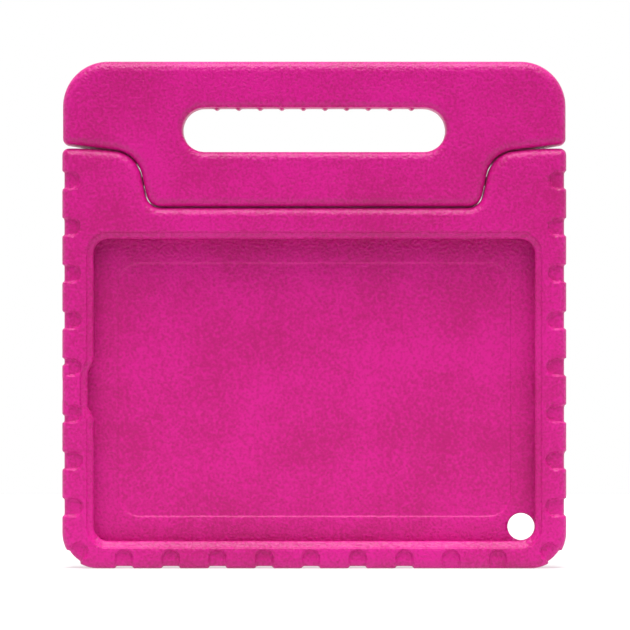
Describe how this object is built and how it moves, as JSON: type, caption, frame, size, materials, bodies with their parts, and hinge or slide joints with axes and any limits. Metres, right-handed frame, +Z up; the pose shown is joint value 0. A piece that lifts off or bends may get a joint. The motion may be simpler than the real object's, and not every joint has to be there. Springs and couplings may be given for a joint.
{
  "type": "tablet case",
  "caption": "Thick moulded foam case for a landscape tablet, with a snap-pinned swing handle on top that carries it and folds back as a stand.",
  "frame": {"origin": "centre of the bottom edge that the case stands on", "axes": "+X to the right seen from the window side, +Y from the window towards the back, +Z up towards the handle"},
  "size_m": [0.2744, 0.028, 0.2758],
  "materials": {
    "eva_foam": "matte",
    "black_nylon": "satin",
    "ring_rubber": "matte"
  },
  "bodies": {
    "case": {"body_shell": "eva_foam", "ear_socket_left": "black_nylon", "ear_socket_right": "black_nylon", "friction_ring_left": "ring_rubber", "friction_ring_right": "ring_rubber"},
    "swing_handle": {"handle": "eva_foam", "handle_anchor_left": "black_nylon", "handle_anchor_right": "black_nylon", "hinge_pin_left": "black_nylon", "hinge_pin_right": "black_nylon"}
  },
  "joints": [
    {"name": "handle_swing", "type": "hinge", "parent": "case", "child": "swing_handle", "pos_m": [0, 0, 0.2109], "axis": [-1, 0, 0], "range_deg": [0, 105]}
  ]
}
